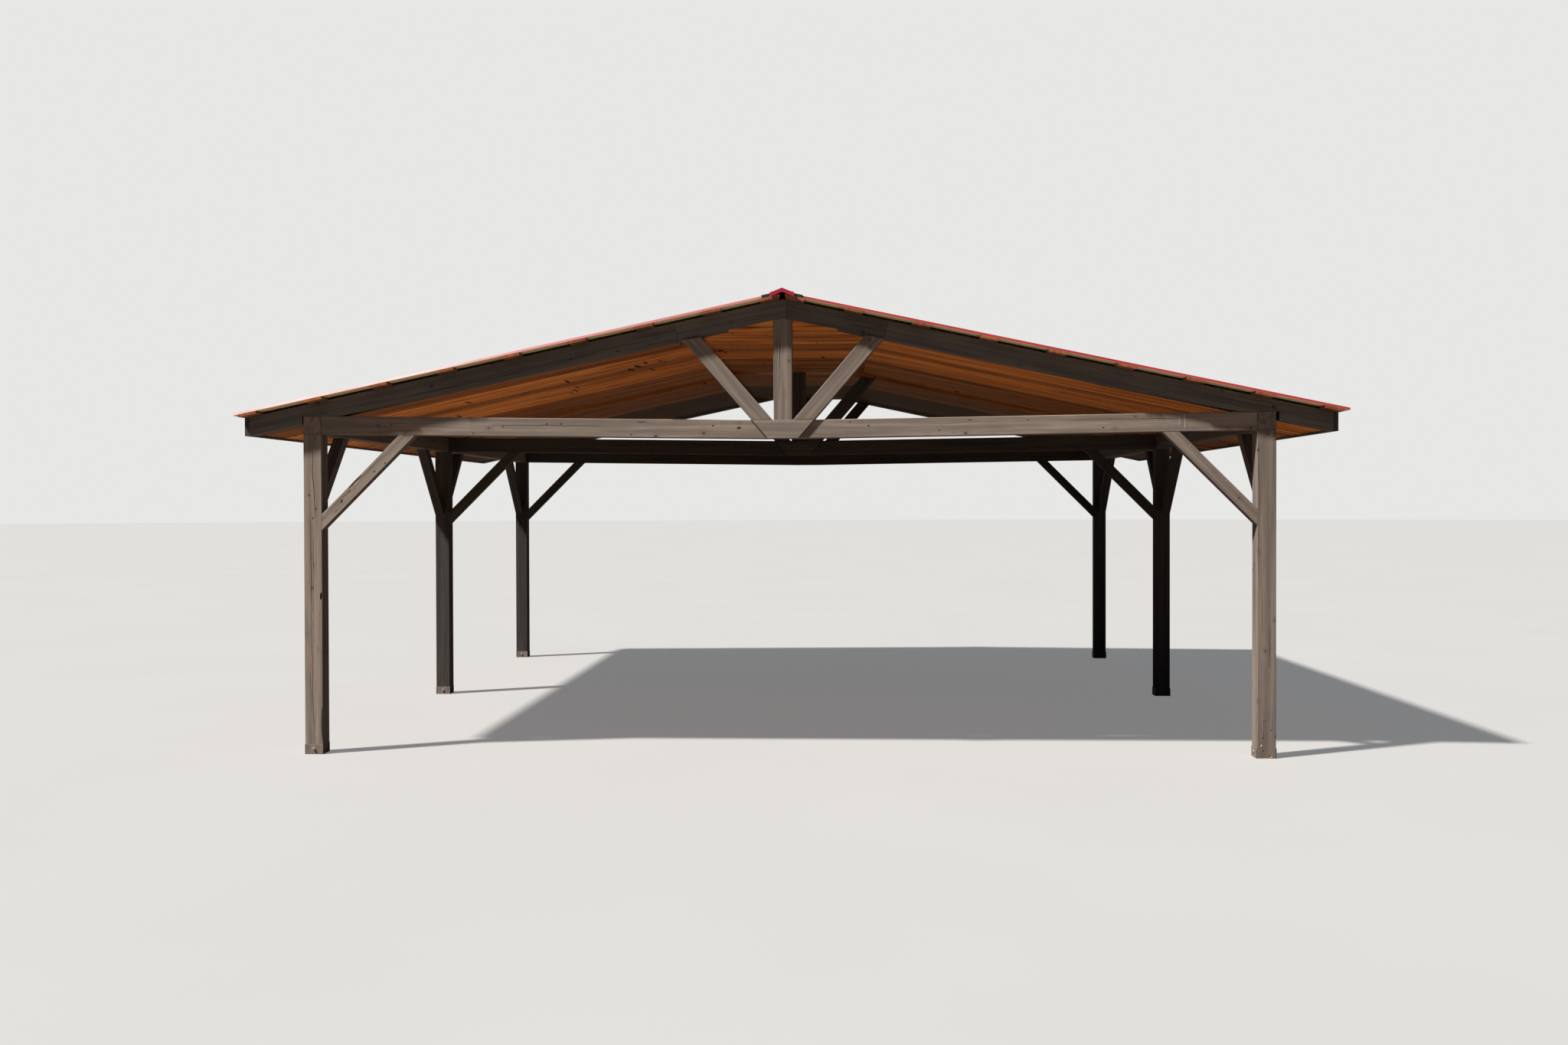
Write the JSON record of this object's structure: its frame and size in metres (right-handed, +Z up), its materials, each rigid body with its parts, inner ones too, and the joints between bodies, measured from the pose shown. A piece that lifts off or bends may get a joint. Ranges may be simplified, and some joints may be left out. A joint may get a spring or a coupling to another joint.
{
  "type": "carport",
  "caption": "Open timber carport: six posts, three strutted trusses, knee braces, board ceiling and a low gable roof of ribbed metal with a ridge cap.",
  "frame": {"origin": "on the floor, midway between the posts, under the ridge", "axes": "+X across the gable to the right, +Y from the front gable to the rear, +Z up"},
  "size_m": [8.319, 7.5872, 3.5038],
  "materials": {
    "stained_timber": "brushed-on grey-brown stain, matt",
    "purlin_boards": "brown-red stain, matt",
    "ceiling_boards": "warm clear finish on knotty boards",
    "roof_metal": "satin baked paint, tan underneath",
    "ridge_metal": "satin baked paint",
    "closure_foam": "matt",
    "shoe_steel": "brushed-on stain over galvanised plate"
  },
  "bodies": {
    "root": {"front_king_post": "stained_timber", "front_knee_braces": "stained_timber", "front_left_post": "stained_timber", "front_lower_rafters": "stained_timber", "front_right_post": "stained_timber", "front_struts": "stained_timber", "front_tie_beams": "stained_timber", "front_tie_block": "stained_timber", "front_upper_left_rafter": "stained_timber", "front_upper_right_rafter": "stained_timber", "left_ceiling_boards": "ceiling_boards", "left_eave_beam": "stained_timber", "left_fascia": "stained_timber", "left_purlins": "purlin_boards", "left_roof_sheet": "roof_metal", "middle_king_post": "stained_timber", "middle_knee_braces": "stained_timber", "middle_left_post": "stained_timber", "middle_lower_rafters": "stained_timber", "middle_right_post": "stained_timber", "middle_struts": "stained_timber", "middle_tie_beams": "stained_timber", "middle_tie_block": "stained_timber", "middle_upper_left_rafter": "stained_timber", "middle_upper_right_rafter": "stained_timber", "post_shoes": "shoe_steel", "rear_king_post": "stained_timber", "rear_knee_braces": "stained_timber", "rear_left_post": "stained_timber", "rear_lower_rafters": "stained_timber", "rear_right_post": "stained_timber", "rear_struts": "stained_timber", "rear_tie_beams": "stained_timber", "rear_tie_block": "stained_timber", "rear_upper_left_rafter": "stained_timber", "rear_upper_right_rafter": "stained_timber", "ridge_cap": "ridge_metal", "ridge_ceiling_boards": "ceiling_boards", "ridge_closures": "closure_foam", "right_ceiling_boards": "ceiling_boards", "right_eave_beam": "stained_timber", "right_fascia": "stained_timber", "right_purlins": "purlin_boards", "right_roof_sheet": "roof_metal"}
  },
  "joints": []
}
